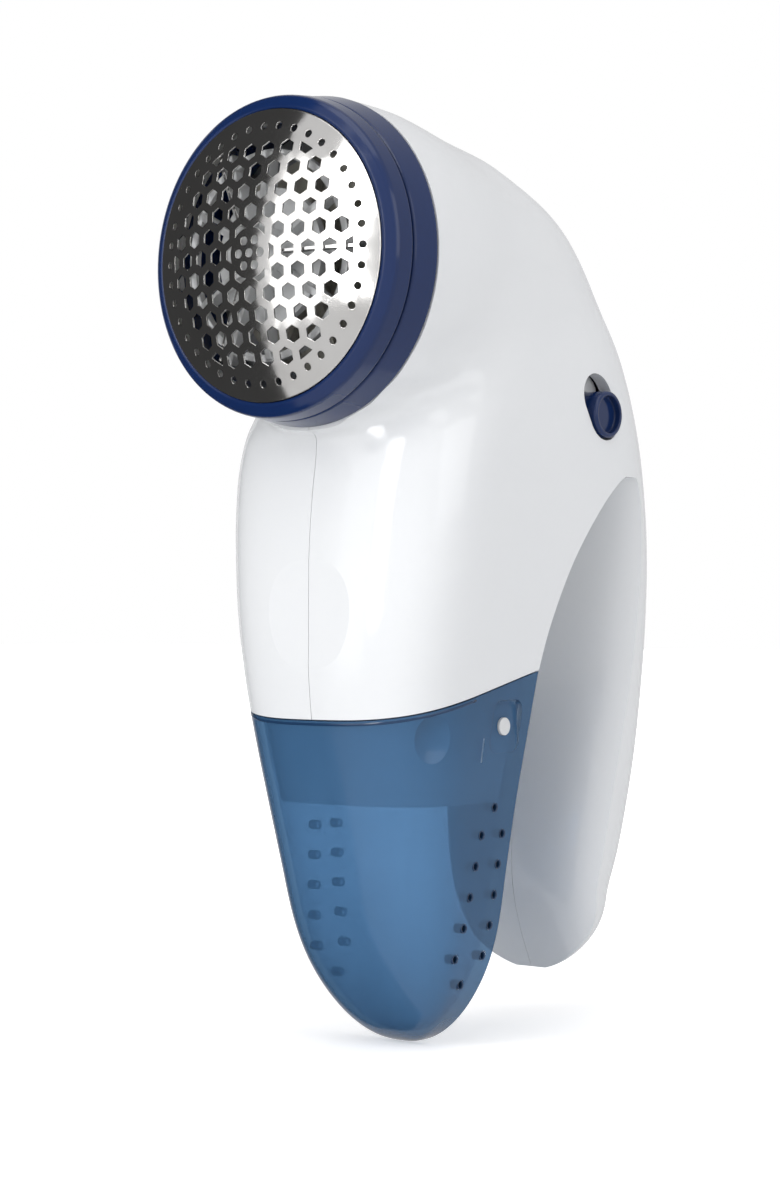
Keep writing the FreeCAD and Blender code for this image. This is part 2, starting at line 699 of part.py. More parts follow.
def air_guide():
    """Bulkhead behind the fan with a chute that drops the lint to the neck."""
    disc = rod_y(30.0, 20.6, 22.2)
    opening = box(-13.0, 13.0, 0, 60, 90, HEAD_Z - 9.0)
    outer = [(20.6, HEAD_Z - 8.0), (44.6, 86.0), (44.6, 77.5), (20.6, 77.5)]
    inner = [(10.0, HEAD_Z - 6.0), (19.4, HEAD_Z - 9.0), (43.2, 85.6), (43.2, 70.0), (10.0, 70.0)]
    chute = prism_x(outer, -17.0, 17.0).cut(prism_x(inner, -15.6, 15.6))
    guide = disc.cut(opening).common(box(-30, 30, 0, 60, HEAD_Z - 20, 180)).fuse(chute)
    return guide.cut(rod_y(3.6, 0, 60)).common(CORE)


# ---- power --------------------------------------------------------------------------------
def cell(side):
    r = CELL_D / 2
    body = Part.makeCylinder(r, CELL_L - 1.2, V(side * CELL_X, CELL_Y, CELL_Z))
    body = body.makeChamfer(0.5, [e for e in body.Edges if e.Closed])
    z1 = CELL_Z + CELL_L - 1.2
    cap = Part.makeCylinder(2.75, 1.2, V(side * CELL_X, CELL_Y, z1))
    cell_body = body.fuse(cap)
    if side < 0:
        cell_body.rotate(V(side * CELL_X, CELL_Y, CELL_Z + CELL_L / 2), V(0, 1, 0), 180)
    return cell_body


def cell_tray(z0, z1):
    plate = box(-30, 30, 60, 100, z0, z1).common(CORE).cut(slot_guard())
    lead_holes = [Part.makeCylinder(1.1, 9, V(s * CELL_X, WIRE_Y, z0 - 4)) for s in (-1, 1)]
    return plate.cut([door_prism(1.2)] + lead_holes)


def slot_guard():
    return slot_cutter(WALL + 0.35)


def contact_springs():
    """Wire springs that press on the lower ends of the cells."""
    springs = []
    for side in (-1, 1):
        spring = wave_spring(CONTACT_R, CONTACT_WIRE, SPRING_CREST, CONTACT_STEP, 3)
        spring.translate(V(side * CELL_X, CELL_Y, CELL_Z - CONTACT_DROP))
        springs.append(spring)
    return Part.makeCompound(springs)


def contact_plate(z0):
    return box(-11.6, 11.6, CELL_Y - 3.9, CELL_Y + 3.6, z0, z0 + 0.4)


def contact_plates_top():
    z0 = CELL_Z + CELL_L + 0.05
    return Part.makeCompound([box(s * CELL_X - 4.5, s * CELL_X + 4.5, CELL_Y - 4.5, CELL_Y + 4.5,
                                  z0, z0 + 0.4) for s in (-1, 1)])


def battery_door():
    wall = SKIN.cut(body_skin(WALL - 0.2))
    door = largest(wall.common(door_prism(0.0)).cut(cell_room()))
    ribs = []
    for k in range(5):
        ribs.append(box(-9.0, 9.0, 90.0, 120.0, 84.0 + 2.2 * k, 85.0 + 2.2 * k))
    grip = Part.makeCompound(ribs).common(SKIN).cut(body_skin(0.6))
    door = door.cut(grip)
    return door


# ---- switch -------------------------------------------------------------------------------
def switch_button():
    """Round cup button with a raised rim on a sliding carrier plate."""
    x_out = curve(WIDTH, SWITCH_Z) + 1.2
    x_in = 17.0
    y = SWITCH_Y + SWITCH_DIR[0] * SWITCH_TRAVEL / 2
    z = SWITCH_Z + SWITCH_DIR[1] * SWITCH_TRAVEL / 2
    cup = rod_x(SWITCH_R, x_in, x_out, y, z)
    top = [e for e in cup.Edges if e.Closed and abs(e.BoundBox.XMax - x_out) < 1e-3]
    cup = cup.makeFillet(0.5, top)
    cup = cup.cut(rod_x(SWITCH_R - 0.8, x_out - 1.3, x_out + 5, y, z))
    plate = stadium_x(y, z, SWITCH_R + 2.0, 4.0, x_in - 1.4, x_in)
    peg = rod_x(1.2, 9.6, x_in, y, z)
    return cup.fuse([plate, peg]).removeSplitter()


def switch_slide():
    """White plate round the button that closes the opening from inside."""
    y = SWITCH_Y + SWITCH_DIR[0] * SWITCH_TRAVEL / 2
    z = SWITCH_Z + SWITCH_DIR[1] * SWITCH_TRAVEL / 2
    plate = stadium_x(y, z, SWITCH_R + 0.9, 2 * SWITCH_TRAVEL, SLIDE_X - SLIDE_T, SLIDE_X)
    return plate.cut(rod_x(SWITCH_R + RUN_GAP, 0, 60, y, z))


def switch_body():
    block = box(2.0, 9.0, SWITCH_Y - 5.5, SWITCH_Y + 6.5, SWITCH_Z - 7.0, SWITCH_Z + 5.0)
    track = stadium_x(SWITCH_Y, SWITCH_Z, 1.6, SWITCH_TRAVEL, 7.0, 12.0)
    return block.cut(track)


def switch_terminals():
    tabs = []
    for k in (-1, 0, 1):
        y = SWITCH_Y + TERMINAL_STEP * k + 0.5
        tabs.append(box(-2.0, 2.0, y - 0.2, y + 0.2, SWITCH_Z - 2.0, SWITCH_Z))
    return Part.makeCompound(tabs)


def lead(points, r=0.6):
    """Insulated lead: straight runs with a round joint at each turn."""
    pieces = []
    for a, b in zip(points[:-1], points[1:]):
        run = V(*b) - V(*a)
        pieces.append(Part.makeCylinder(r, run.Length, V(*a), run))
    for turn in points[1:-1]:
        pieces.append(Part.makeSphere(r, V(*turn)))
    return pieces[0].fuse(pieces[1:])


# ---- build --------------------------------------------------------------------------------
right_shell, left_shell = shells()
put(right_shell, "shell_switch_side")
put(left_shell, "shell_screw_side")
put(screws(), "shell_screws", False)
put(lint_box(), "lint_box")
put(latch_dots(), "latch_dots", False)
put(foil(), "foil")
put(foil_ring(), "foil_ring")
put(foil_clamp(), "foil_clamp")
put(collar_ring(), "collar_ring")
put(cutter_hub(), "cutter_hub")
for index in range(3):
    put(blade(index), "blade_%d" % (index + 1))
put(cutter_spring(), "cutter_spring")
put(drive_sleeve(), "drive_sleeve")
put(fan(), "fan")
put(motor_shaft(), "motor_shaft")
put(motor_can(), "motor_can")
put(motor_end_cap(), "motor_end_cap")
put(motor_terminals(), "motor_terminals", False)
put(motor_cradle(), "motor_cradle")
put(air_guide(), "air_guide")
put(cell(1), "cell_a")
put(cell(-1), "cell_b")
put(cell_tray(CELL_Z - 6.8, CELL_Z - 4.0), "cell_tray_low")
put(cell_tray(CELL_Z + CELL_L + 0.6, CELL_Z + CELL_L + 2.8), "cell_tray_top")
put(contact_springs(), "contact_springs", False)
put(contact_plate(CELL_Z - 3.95), "contact_bridge")
put(contact_plates_top(), "contact_plates", False)
put(battery_door(), "battery_door")
put(switch_button(), "switch_button")
put(switch_slide(), "switch_slide")
put(switch_body(), "switch_body")
put(switch_terminals(), "switch_terminals", False)
end = CELL_Z + CELL_L + 0.7
put(lead([(-2.8, 69.4, 112.2), (0.0, 74.5, 108.6), (5.5, 78.8, 103.0), (CELL_X, WIRE_Y, 98.8),
          (CELL_X, WIRE_Y, end)]), "wire_a")
put(lead([(-2.8, 62.3, 112.2), (-2.5, 59.6, 119.0), (3.5, 58.2, 126.0), (6.5, 57.5, 134.0),
          (3.5, 57.5, 140.5), (0.0, 56.6, 142.6)]), "wire_b")
put(lead([(0.0, 56.6, 129.4), (-4.5, 58.2, 127.2), (-9.5, 63.0, 119.5), (-10.0, 69.0, 111.5),
          (-9.0, 76.5, 105.4), (-CELL_X, WIRE_Y, 99.2), (-CELL_X, WIRE_Y, end)]), "wire_c")
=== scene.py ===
# %% [markdown]
# # A hand-held fabric shaver
#
# The shaver is a glossy white two-part body with a slanted round head, a navy screw ring that holds a
# domed steel foil, a clear blue box that catches the lint, and a grip with a long finger slot.
# The engineering model already has every part at its real size, so this lesson keeps those parts,
# gives each one a finish of its own, and lights the shaver as a small product shot.
#
# The frame is loaded first. Whatever an empty Blender file starts with is removed, and the box of the
# engineering model is kept and printed.

import json
import math

import bpy
from mathutils import Matrix, Vector

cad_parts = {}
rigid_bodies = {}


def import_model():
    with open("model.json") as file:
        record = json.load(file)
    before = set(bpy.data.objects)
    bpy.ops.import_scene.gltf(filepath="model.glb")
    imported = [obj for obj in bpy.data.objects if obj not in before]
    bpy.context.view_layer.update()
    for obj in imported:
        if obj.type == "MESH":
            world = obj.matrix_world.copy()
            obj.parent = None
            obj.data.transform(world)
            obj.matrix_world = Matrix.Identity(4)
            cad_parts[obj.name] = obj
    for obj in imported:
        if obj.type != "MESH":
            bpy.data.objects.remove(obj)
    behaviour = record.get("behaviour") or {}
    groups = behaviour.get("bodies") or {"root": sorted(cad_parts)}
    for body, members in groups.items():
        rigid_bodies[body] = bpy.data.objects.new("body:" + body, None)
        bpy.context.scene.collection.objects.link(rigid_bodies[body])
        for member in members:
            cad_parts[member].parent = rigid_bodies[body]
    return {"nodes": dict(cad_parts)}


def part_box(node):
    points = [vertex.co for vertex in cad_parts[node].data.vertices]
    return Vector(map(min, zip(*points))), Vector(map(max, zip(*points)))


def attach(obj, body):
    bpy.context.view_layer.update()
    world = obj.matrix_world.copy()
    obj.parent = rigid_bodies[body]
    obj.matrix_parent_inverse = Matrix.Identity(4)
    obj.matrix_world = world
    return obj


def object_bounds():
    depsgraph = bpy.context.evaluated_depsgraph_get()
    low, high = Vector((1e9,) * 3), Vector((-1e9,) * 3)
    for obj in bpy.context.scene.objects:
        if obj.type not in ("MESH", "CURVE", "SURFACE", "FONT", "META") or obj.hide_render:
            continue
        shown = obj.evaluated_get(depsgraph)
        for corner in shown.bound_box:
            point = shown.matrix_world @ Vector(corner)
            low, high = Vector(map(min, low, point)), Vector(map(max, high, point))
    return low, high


for leftover in list(bpy.data.objects):
    bpy.data.objects.remove(leftover)

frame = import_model()
bpy.context.view_layer.update()
cad_low, cad_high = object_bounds()
MM = 0.001
print("engineering box, mm:", [round(v / MM, 1) for v in (*cad_low, *cad_high)])

# %% [markdown]
# ## Writing shader sums as Python
#
# A finish is mostly arithmetic: a little more roughness where a slow noise is high, a little less gloss
# where the plastic has been handled. Wiring each Math node by hand hides that arithmetic, so one small
# class wraps a socket and lets plus, minus and times add the node. Everything else comes from a single
# method that takes the node's type, its settings and the values of its sockets.

# %% A socket that can be added and multiplied
class Signal:
    """One output of a shader node, usable in Python sums."""

    def __init__(self, socket):
        self.socket = socket

    def maths(self, operation, first, second):
        tree = self.socket.node.id_data
        node = tree.nodes.new("ShaderNodeMath")
        node.operation = operation
        for hole, value in zip(node.inputs, (first, second)):
            if isinstance(value, Signal):
                tree.links.new(value.socket, hole)
            else:
                hole.default_value = value
        return Signal(node.outputs[0])

    def __add__(self, other):
        return self.maths("ADD", self, other)

    __radd__ = __add__

    def __mul__(self, other):
        return self.maths("MULTIPLY", self, other)

    __rmul__ = __mul__

    def __sub__(self, other):
        return self.maths("SUBTRACT", self, other)

    def __rsub__(self, other):
        return self.maths("SUBTRACT", other, self)

    def __pow__(self, power):
        return self.maths("POWER", self, power)

    def over(self, limit):
        """1 where the signal is over the limit, 0 elsewhere."""
        return self.maths("GREATER_THAN", self, limit)


class Outputs:
    """The outputs of a node, by name or number."""

    def __init__(self, node):
        self.node = node

    def __getitem__(self, name):
        return Signal(self.node.outputs[name])


print("sums ready")

# %% A finish in the making
class Finish:
    """A material being put together, with the place on the part as its starting signal."""

    def __init__(self, name, world=False):
        if world:
            self.owner = bpy.data.worlds.new(name)
        else:
            self.owner = bpy.data.materials.new(name)
        self.owner.use_nodes = True
        self.tree = self.owner.node_tree
        self.tree.nodes.clear()
        kind = "Generated" if world else "Object"
        self.place = self.add("ShaderNodeTexCoord")[kind]

    def add(self, kind, settings=(), sockets=()):
        """Adds a node: its type, its settings, then the values or links of its sockets."""
        node = self.tree.nodes.new(kind)
        for name, value in dict(settings).items():
            setattr(node, name, value)
        for name, value in dict(sockets).items():
            hole = node.inputs[name]
            if isinstance(value, Signal):
                self.tree.links.new(value.socket, hole)
            elif hole.type == "RGBA":
                hole.default_value = (*value, 1.0)
            else:
                hole.default_value = value
        return Outputs(node)

    def noise(self, size, detail=2.0, place=None):
        """Cloudy variation from 0 to 1, with features about size metres across."""
        sockets = {"Vector": place or self.place, "Scale": 1.0 / size, "Detail": detail}
        return self.add("ShaderNodeTexNoise", {}, sockets)["Fac"]

    def mix(self, factor, first, second):
        """A colour between two colours."""
        return self.add("ShaderNodeMix", {"data_type": "RGBA"}, {0: factor, 6: first, 7: second})[2]

    def bump(self, height, strength, depth, normal=None):
        """A normal that follows a height signal; depth is in metres."""
        sockets = {"Height": height, "Strength": strength, "Distance": depth}
        if normal:
            sockets["Normal"] = normal
        return self.add("ShaderNodeBump", {}, sockets)["Normal"]

    def close(self, shader):
        """Ends the material with this shader."""
        kind = "World" if isinstance(self.owner, bpy.types.World) else "Material"
        self.add(f"ShaderNodeOutput{kind}", {}, {"Surface": shader})
        return self.owner


print("finish maker ready")

# %% [markdown]
# ## White and navy mouldings
#
# The body halves and the rings are injection-moulded ABS from a polished tool. The real surface isn't
# perfectly even: the gloss drifts slowly from place to place, it has a very fine waviness that makes
# reflections swim a little, and grease from the hand leaves duller clouds. One recipe makes all the
# mouldings, with colour, gloss and waviness as its arguments, because they share a process and differ
# only in pigment and polish.

# %% The recipe for a moulding
FINE = 1.1 * MM
WAVY = 5.0 * MM
HANDLED = 12.0 * MM
SLOW = 30.0 * MM
SKIN_DEPTH = 0.08 * MM


def moulding(name, colour, deep, gloss, waviness=0.10, coat=0.0, round_edges=0.25):
    """Moulded plastic: base colour, the deeper colour it drifts to, and its roughness.

    round_edges is the radius in millimetres that sharp edges are shaded with.
    """
    f = Finish(name)
    drift = f.noise(SLOW, 3.0)
    grain = f.noise(FINE, 2.0)
    smear = f.noise(HANDLED, 3.0)
    tint = f.mix(drift * 0.8 + grain * 0.2, colour, deep)
    edge = None
    if round_edges:
        edge = f.add("ShaderNodeBevel", {"samples": 4}, {"Radius": round_edges * MM})["Normal"]
    skin = f.bump(grain * 0.3 + f.noise(WAVY) * 0.7, waviness, SKIN_DEPTH, edge)
    shader = f.add("ShaderNodeBsdfPrincipled", {}, {
        "Base Color": tint,
        "Roughness": smear * 0.06 + drift * 0.04 + (gloss - 0.05),
        "IOR": 1.52,
        "Coat Weight": coat,
        "Coat Roughness": 0.06,
        "Normal": skin,
    })["BSDF"]
    return f.close(shader)


finishes = {
    "white_body": moulding("glossy white shell", (0.82, 0.83, 0.84), (0.77, 0.785, 0.80), 0.10,
                           waviness=0.05, round_edges=0),
    "white_plastic": moulding("white inner part", (0.74, 0.75, 0.75), (0.66, 0.67, 0.68), 0.30),
    "navy_plastic": moulding("navy ring", (0.006, 0.024, 0.105), (0.004, 0.017, 0.075), 0.13,
                             waviness=0.05, round_edges=0.5),
    "inner_plastic": moulding("grey inner frame", (0.50, 0.51, 0.52), (0.40, 0.41, 0.43), 0.42, 0.3),
    "dark_plastic": moulding("black switch body", (0.020, 0.021, 0.024), (0.012, 0.012, 0.014), 0.45, 0.3),
    "fan_plastic": moulding("fan nylon", (0.62, 0.60, 0.54), (0.52, 0.50, 0.44), 0.40, 0.3),
}
print("mouldings:", ", ".join(finishes))

# %% [markdown]
# ## The clear blue lint box
#
# The box is tinted clear plastic. Light goes straight through each thin wall and takes the tint, a
# little is scattered inside the plastic, and the surface mirrors the studio. Real refraction would make
# slow and grainy shadows inside the box for hardly any bending, so the wall is a tinted Transparent
# shader mixed with a glossy blue body. At a slant the light crosses more plastic, and the tint
# deepens: that is why the rim and the outline of such a box look dark. The blue body's colour is also
# painted darker towards the outline, where the face turns away from the camera: that is painted shade.

# %% Tinted wall
BOX_TINT = (0.190, 0.350, 0.530)
BOX_TINT_SLANT = (0.012, 0.035, 0.085)
BOX_CLEAR = (0.80, 0.86, 0.92)
BOX_BLUE = (0.070, 0.175, 0.335)
BOX_BLUE_DEEP = (0.052, 0.145, 0.290)
# painted shade: the near-black blue that the body colour turns to at the outline
BOX_PAINTED_OUTLINE_SHADE = (0.010, 0.030, 0.075)
INSIDE_REACH = 60.0 * MM   # how far a point looks for walls to know that it is inside the box
OUTSIDE_SKY = 0.42         # the share of open sky that an outer face sees at least
CLOUDS = 16.0 * MM


def tinted_wall():
    """Clear blue plastic: the outer faces carry the tint, haze and mirror, the inner ones a little tint."""
    f = Finish("clear blue box")
    slant = f.add("ShaderNodeLayerWeight", {}, {"Blend": 0.5})["Facing"]
    flow = f.noise(CLOUDS, 3.0)
    sky = f.add("ShaderNodeAmbientOcclusion", {"samples": 6, "only_local": True}, {"Distance": INSIDE_REACH})
    outside = sky["AO"].over(OUTSIDE_SKY)
    through = f.add("ShaderNodeBsdfTransparent", {}, {"Color": BOX_TINT})["BSDF"]
    along = f.add("ShaderNodeBsdfTransparent", {}, {"Color": BOX_TINT_SLANT})["BSDF"]
    tinted = f.add("ShaderNodeMixShader", {}, {0: slant ** 1.3, 1: through, 2: along})[0]
    water = f.add("ShaderNodeBsdfTransparent", {}, {"Color": BOX_CLEAR})["BSDF"]
    shadow = f.add("ShaderNodeLightPath")["Is Shadow Ray"]
    tint_here = outside * (1.0 - shadow * 0.75)
    clear = f.add("ShaderNodeMixShader", {}, {0: tint_here, 1: water, 2: tinted})[0]
    blue = f.mix(flow, BOX_BLUE, BOX_BLUE_DEEP)
    edge = f.add("ShaderNodeBevel", {"samples": 4}, {"Radius": 0.35 * MM})["Normal"]
    body = f.add("ShaderNodeBsdfPrincipled", {}, {
        # painted shade: the body colour darkens as the face turns away from the camera
        "Base Color": f.mix(slant ** 1.8, blue, BOX_PAINTED_OUTLINE_SHADE),
        "Roughness": flow * 0.06 + 0.05,
        "IOR": 1.58,
        "Specular IOR Level": 0.2,
        "Normal": f.bump(flow, 0.05, 0.2 * MM, edge),
    })["BSDF"]
    scatter = outside * (slant ** 3.0 * 0.35 + flow * 0.05 + 0.46) + 0.10
    haze = scatter * (1.0 - shadow * 0.6)
    wall = f.add("ShaderNodeMixShader", {}, {0: haze, 1: clear, 2: body})[0]
    mirror = f.add("ShaderNodeBsdfGlossy", {}, {"Color": (0.7, 0.7, 0.7), "Roughness": 0.18})["BSDF"]
    shine = f.add("ShaderNodeFresnel", {}, {"IOR": 1.5})["Fac"] * outside * 0.6
    return f.close(f.add("ShaderNodeMixShader", {}, {0: shine, 1: wall, 2: mirror})[0])


finishes["blue_box"] = tinted_wall()
print("blue box ready")

# %% [markdown]
# ## Metals
#
# The foil is thin spring steel, etched and drawn into a dome, so it is nearly a mirror with very slight
# dents round its holes. The blades are ground steel with straight scratches, the motor can is dull
# plated steel, and the contacts are bright spring brass with a nickel look. They all share one recipe:
# a metal colour, a roughness with cloudy variation, and a bump for scratches or dents.

# %% The recipe for a metal
def metal(name, colour, tarnish, gloss, stretch=(1.0, 1.0, 1.0), size=1.4, waviness=0.15):
    """Bare metal: size is that of the fine marks in millimetres, and stretch draws them out."""
    f = Finish(name)
    marks_at = f.add("ShaderNodeMapping", {}, {"Vector": f.place, "Scale": stretch})["Vector"]
    marks = f.noise(size * MM, 3.0, marks_at)
    cloud = f.noise(8.0 * MM, 3.0)
    edge = f.add("ShaderNodeBevel", {"samples": 4}, {"Radius": 0.12 * MM})["Normal"]
    shader = f.add("ShaderNodeBsdfPrincipled", {}, {
        "Base Color": f.mix(cloud ** 2.0, colour, tarnish),
        "Metallic": 1.0,
        "Roughness": marks * 0.05 + cloud * 0.04 + (gloss - 0.04),
        "Normal": f.bump(marks, waviness, 0.06 * MM, edge),
    })["BSDF"]
    return f.close(shader)


GROUND = (1.0, 1.0, 14.0)
finishes.update({
    "foil_steel": metal("foil steel", (0.84, 0.83, 0.81), (0.70, 0.68, 0.65), 0.09,
                        size=6.0, waviness=0.04),
    "blade_steel": metal("ground blade", (0.70, 0.70, 0.70), (0.55, 0.54, 0.52), 0.24, GROUND, 3.0),
    "screw_steel": metal("zinc screw", (0.62, 0.63, 0.64), (0.42, 0.42, 0.42), 0.32),
    "spring_steel": metal("spring steel", (0.55, 0.55, 0.56), (0.38, 0.38, 0.39), 0.30),
    "motor_steel": metal("plated motor can", (0.52, 0.53, 0.53), (0.38, 0.38, 0.37), 0.36, GROUND),
    "contact_metal": metal("nickel contact", (0.72, 0.68, 0.58), (0.55, 0.48, 0.36), 0.26),
})
print("metals ready")

# %% [markdown]
# ## Cells and leads
#
# The two cells wear a printed film with a metal cap at the top end, here a plain grey and orange
# jacket with no lettering. The leads have soft PVC over stranded copper.

# %% Cell jackets and lead insulation
CELL_FOOT = 46.4 * MM      # heights of the bare ends and of the orange band
CELL_BAND = 78.0 * MM
CELL_CAP = 92.5 * MM


def jacket():
    """A cell's printed film between two bare metal ends."""
    f = Finish("cell jacket")
    height = f.add("ShaderNodeSeparateXYZ", {}, {"Vector": f.place})["Z"]
    grain = f.noise(2.0 * MM)
    cap = height.over(CELL_CAP)
    foot = 1.0 - height.over(CELL_FOOT)
    band = height.over(CELL_BAND)
    film = f.mix(band, (0.030, 0.032, 0.036), (0.58, 0.20, 0.035))
    ends = cap + foot
    shader = f.add("ShaderNodeBsdfPrincipled", {}, {
        "Base Color": f.mix(ends, film, (0.66, 0.66, 0.65)),
        "Metallic": ends,
        "Roughness": grain * 0.12 + 0.20,
        "Normal": f.bump(grain, 0.15, 0.08 * MM),
    })["BSDF"]
    return f.close(shader)


finishes["cell_jacket"] = jacket()
finishes["wire_red"] = moulding("red lead", (0.42, 0.015, 0.012), (0.30, 0.010, 0.008), 0.42, 0.3)
finishes["wire_black"] = moulding("black lead", (0.022, 0.022, 0.024), (0.012, 0.012, 0.013), 0.42, 0.3)
print("cells and leads ready")

# %% [markdown]
# ## Dressing the engineering parts
#
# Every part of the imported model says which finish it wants, by the name of its material slot. The parts
# keep their meshes and their places; only the material in the slot changes.

# %% Put each finish in its slots
dressed = 0
for part in frame["nodes"].values():
    for hole in part.material_slots:
        wanted = hole.material.name.split(".")[0]
        hole.material = finishes[wanted]
        dressed += 1
print("dressed slots:", dressed)

# %% [markdown]
# ## Painted shade on the blue box
#
# Two things on the real box look dark only because of how light runs through the clear plastic: the
# cut edge along its top, where light runs down the length of the wall, and the sides of the twelve air
# holes in each flank. A see-through shader on a thin wall can't gather that much shade, so both get
# small solid pieces of their own; the top edge and the right-flank linings are dark, as painted shade,
# while the left-flank linings wear the box's own finish. Their places are found by shooting rays at the
# box itself, so they stay on its surface whatever its size.

# %% Finding the wall of the box
box_part = frame["nodes"]["lint_box"]


def wall_point(start, towards):
    """Where a ray from outside first meets the blue box."""
    hit, spot, _, _ = box_part.ray_cast(start, (towards - start).normalized())
    return spot.copy() if hit else None


box_low, box_high = (Vector(corner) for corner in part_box("lint_box"))
box_middle = (box_low + box_high) / 2
print("blue box is", round((box_high.z - box_low.z) / MM, 1), "mm tall")

# %% A piece from points and faces
def piece(name, points, faces, finish, body):
    """A mesh piece with one finish that rides on a body."""
    mesh = bpy.data.meshes.new(name)
    mesh.from_pydata([tuple(p) for p in points], [], faces)
    mesh.update()
    mesh.materials.append(finish)
    for face in mesh.polygons:
        face.use_smooth = True
    made = bpy.data.objects.new(name, mesh)
    bpy.context.scene.collection.objects.link(made)
    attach(made, body)
    print(name, len(points), "points")


# Painted shade: a near-black blue moulding for the top edge and the right-flank hole linings, which on the
# real box are dark only from light in the clear plastic.
painted_shade_edge = moulding("painted shade edge", (0.016, 0.050, 0.120), (0.010, 0.034, 0.085), 0.10,
               waviness=0.05, round_edges=0)

# %% Linings of the air holes, dark on the right flank as painted shade
HOLE_R = 0.85 * MM
LINING_LIP = 0.10 * MM
LINING_DEPTH = 1.7 * MM
HOLE_ROWS = 5              # two holes a row, then one above and one below
HOLE_TOP = 37.7 * MM
HOLE_STEP = 5.35 * MM
REAR_INSET = 2.7 * MM      # from the rear face of the box to the two columns of holes
FRONT_INSET = 8.6 * MM
FRONT_SPREAD = 0.45 * MM   # the front column leans away row by row
HIGHEST_HOLE = (42.4 * MM, 6.0 * MM)    # height and inset
LOWEST_HOLE = (-9.7 * MM, 11.4 * MM)    # depth and height
FAR = 0.1                  # outside the box, where the measuring rays start
SIDES = 20


def box_rear(z):
    """Depth of the rear face of the box at a height, read off the box itself."""
    return wall_point(Vector((0.0, 2 * FAR, z)), Vector((0.0, 0.0, z))).y


def lining(centre_y, z, side):
    """Points and faces of one thin sleeve, turned about the X axis, at the wall beside the hole."""
    beside = centre_y + 1.3 * HOLE_R
    spot = wall_point(Vector((side * FAR, beside, z)), Vector((0.0, beside, z)))
    if spot is None:
        return [], []
    out = abs(spot.x)
    turns = [(out - LINING_DEPTH, 0.96), (out - LINING_LIP, 0.96), (out + LINING_LIP, 0.92)]
    turns += [(out + LINING_LIP, 0.78), (out - 2 * LINING_LIP, 0.70), (out - LINING_DEPTH, 0.70)]
    points, faces = [], []
    for k in range(SIDES):
        a = math.tau * k / SIDES
        for x, share in turns:
            r = HOLE_R * share
            points.append((side * x, centre_y + r * math.cos(a), z + r * math.sin(a)))
    n = len(turns)
    for k in range(SIDES):
        for j in range(n):
            a, b = k * n + j, k * n + (j + 1) % n
            c, d = (k + 1) % SIDES * n + (j + 1) % n, (k + 1) % SIDES * n + j
            faces.append((a, b, c, d) if side > 0 else (d, c, b, a))
    return points, faces


hole_places = []
for row in range(HOLE_ROWS):
    z = HOLE_TOP - HOLE_STEP * row
    hole_places += [(z, REAR_INSET), (z, FRONT_INSET + FRONT_SPREAD * row)]
hole_places.append(HIGHEST_HOLE)
hole_centres = [(box_rear(z) - inset, z) for z, inset in hole_places]
hole_centres.append(LOWEST_HOLE)

# The right flank's linings are dark as painted shade; the left ones take the box's own finish.
flanks = ((1, "vent_linings_right", painted_shade_edge), (-1, "vent_linings_left", finishes["blue_box"]))
for side, name, finish in flanks:
    all_points, all_faces = [], []
    for centre_y, z in hole_centres:
        points, faces = lining(centre_y, z, side)
        first = len(all_points)
        all_points += points
        all_faces += [tuple(first + i for i in face) for face in faces]
    piece(name, all_points, all_faces, finish, "lint_box")

# %% The painted shade line along the top edge
EDGE_R = 0.30 * MM
EDGE_DROP = 0.75 * MM      # below the top edge
PARTING_Z = 58.0 * MM      # height of the top edge at PARTING_Y, and its rise to the rear
PARTING_Y = -32.0 * MM
PARTING_SLOPE = 0.25
ROUND = 120                # points round the edge, and round its section
SECTION = 8
EDGE_FAR = 80.0 * MM
AIM_TRIES = 4              # each try uses the depth found by the one before


def parting(y):
    """Height of the top edge at a depth."""
    return PARTING_Z + (y - PARTING_Y) * PARTING_SLOPE


def edge_point(bearing):
    """The point of the wall just below the top edge, at a bearing from the middle of the box."""
    away = Vector((math.cos(bearing), math.sin(bearing), 0.0)) * EDGE_FAR
    spot = Vector((box_middle.x, box_middle.y, 0.0)) + away
    for _ in range(AIM_TRIES):
        aim = Vector((box_middle.x, box_middle.y, parting(spot.y) - EDGE_DROP))
        spot = wall_point(aim + away, aim)
        if spot is None:
            break
    return spot


found = [edge_point(math.tau * k / ROUND) for k in range(ROUND)]
path = [spot for spot in found if spot is not None]

points, faces = [], []
for k, spot in enumerate(path):
    ahead = path[(k + 1) % len(path)] - path[k - 1]
    out = Vector((ahead.y, -ahead.x, 0.0)).normalized()
    for j in range(SECTION):
        a = math.tau * j / SECTION
        lift = Vector((0.0, 0.0, 1.0)) * math.sin(a) * EDGE_R * 1.3
        points.append(spot - out * (EDGE_R * 0.75) + out * math.cos(a) * EDGE_R + lift)
for k in range(len(path)):
    after = (k + 1) % len(path)
    for j in range(SECTION):
        beside = (j + 1) % SECTION
        faces.append((k * SECTION + j, k * SECTION + beside, after * SECTION + beside, after * SECTION + j))
piece("box_top_painted_shade", points, faces, painted_shade_edge, "lint_box")

# %% [markdown]
# ## The studio
#
# A small product shot: a pale floor that runs out of sight, a soft world that lights everything a
# little, and four large soft panels. The foil is a mirror, so what it shows is decided by where the
# panels are: it looks towards the left front, where a bright panel fills its right half and the dim
# side of the room fills the left. Rays from the camera see the pale colour of the room everywhere, so
# the dim side never shows behind the shaver.

# %% The floor
FLOOR_HALF = 6.0
FLOOR_Z = cad_low.z - 0.2 * MM
floor_mesh = bpy.data.meshes.new("studio_floor")
corners = [(-1, -1), (1, -1), (1, 1), (-1, 1)]
floor_mesh.from_pydata([(x * FLOOR_HALF, y * FLOOR_HALF, FLOOR_Z) for x, y in corners], [], [(0, 1, 2, 3)])
floor = bpy.data.objects.new("studio_floor", floor_mesh)
bpy.context.scene.collection.objects.link(floor)

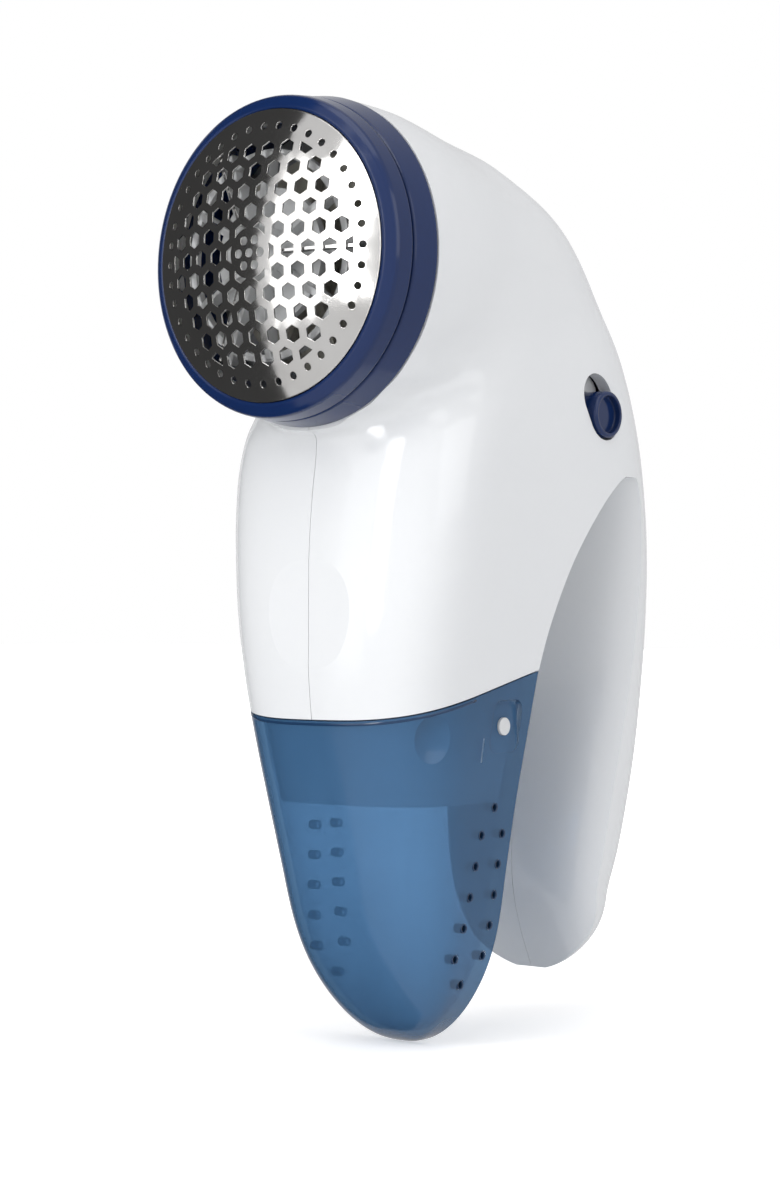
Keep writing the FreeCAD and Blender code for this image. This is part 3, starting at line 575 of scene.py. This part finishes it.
paper = Finish("pale paper")
fibre = paper.noise(4.0 * MM)
away = paper.add("ShaderNodeVectorMath", {"operation": "LENGTH"}, {0: paper.place})["Value"]
fade = paper.add("ShaderNodeMapRange", {"interpolation_type": "SMOOTHSTEP"}, {
    "Value": away,
    "From Min": 0.05,
    "From Max": 0.40,
})["Result"]
seen = paper.add("ShaderNodeLightPath")["Is Camera Ray"]
floor_mesh.materials.append(paper.close(paper.add("ShaderNodeBsdfPrincipled", {}, {
    "Base Color": paper.mix(fibre, (0.93, 0.935, 0.94), (0.95, 0.95, 0.95)),
    "Roughness": fibre * 0.1 + 0.75,
    "Specular IOR Level": 0.1,
    "Emission Color": paper.mix(seen * (fade * 0.5 + 0.5), (0.0, 0.0, 0.0), (1.0, 1.0, 1.0)),
    "Emission Strength": 0.85,
})["BSDF"]))
floor.visible_glossy = False
print("floor at", round(FLOOR_Z / MM, 2), "mm")

# %% The room
ROOM = (0.985, 0.985, 1.0)
DIM_FROM = math.radians(39.0)
DIM_TO = math.radians(112.0)

room = Finish("studio room", world=True)
split = room.add("ShaderNodeSeparateXYZ", {}, {"Vector": room.place})
bearing = split["X"].maths("ARCTAN2", -1.0 * split["X"], -1.0 * split["Y"])
dim = bearing.over(DIM_FROM) - bearing.over(DIM_TO)
seen = room.add("ShaderNodeLightPath")["Is Camera Ray"]
level = (1.0 - dim * 0.93) * 0.645
bpy.context.scene.world = room.close(room.add("ShaderNodeBackground", {}, {
    "Color": room.mix(seen, ROOM, (1.0, 1.0, 1.0)),
    "Strength": seen + (1.0 - seen) * level,
})["Background"])
print("room ready")

# %% The soft panels
AIM = Vector((0.0, 0.0, 90.0 * MM))


def panel(name, bearing, height, distance, wide, tall, power):
    """A soft panel that looks at the middle of the shaver. Bearing is from -Y towards +X, in degrees."""
    turn = math.radians(bearing)
    spot = Vector((math.sin(turn) * distance, -math.cos(turn) * distance, height))
    lamp = bpy.data.lights.new(name, "AREA")
    lamp.shape = "RECTANGLE"
    lamp.size = wide
    lamp.size_y = tall
    lamp.energy = power
    holder = bpy.data.objects.new(name, lamp)
    holder.location = spot
    holder.rotation_euler = (AIM - spot).to_track_quat("-Z", "Y").to_euler()
    holder.visible_camera = False
    bpy.context.scene.collection.objects.link(holder)


panel("front panel", -6.0, 0.50, 1.3, 0.32, 1.1, 7.5)
panel("right panel", 80.0, 0.7, 1.6, 1.4, 1.2, 5.5)
panel("top panel", 20.0, 1.7, 0.5, 1.4, 1.4, 7.0)
panel("left panel", -24.0, 0.4, 1.5, 0.5, 1.2, 2.0)
print("panels ready")

# %% [markdown]
# ## The camera
#
# The shaver is seen from its right front at the height of the box, with a long lens from half a metre,
# so the head looms a little over the grip.

# %% Camera
camera = bpy.data.objects.new("camera", bpy.data.cameras.new("camera"))
bpy.context.scene.collection.objects.link(camera)
right = Vector((0.7729, 0.6345, 0.0029)).normalized()
look = Vector((-0.6345, 0.7729, 0.0090)).normalized()
up = right.cross(look).normalized()
stand = Vector((0.3030, -0.3808, 0.0745))
turned = Matrix((right, up, -look)).transposed().to_4x4()
camera.matrix_world = Matrix.Translation(stand) @ turned
camera.data.sensor_fit = "HORIZONTAL"
camera.data.sensor_width = 36.0
camera.data.lens = 124.44
camera.data.clip_start = 0.01
camera.data.clip_end = 50.0
bpy.context.scene.camera = camera
bpy.context.scene.view_settings.view_transform = "Standard"
print("camera", tuple(round(v, 3) for v in stand))

# %% [markdown]
# ## Finish
#
# The looks must not change the size of the shaver; the scene is brought up to date at the end.

# %% Bring the scene up to date
bpy.context.view_layer.update()
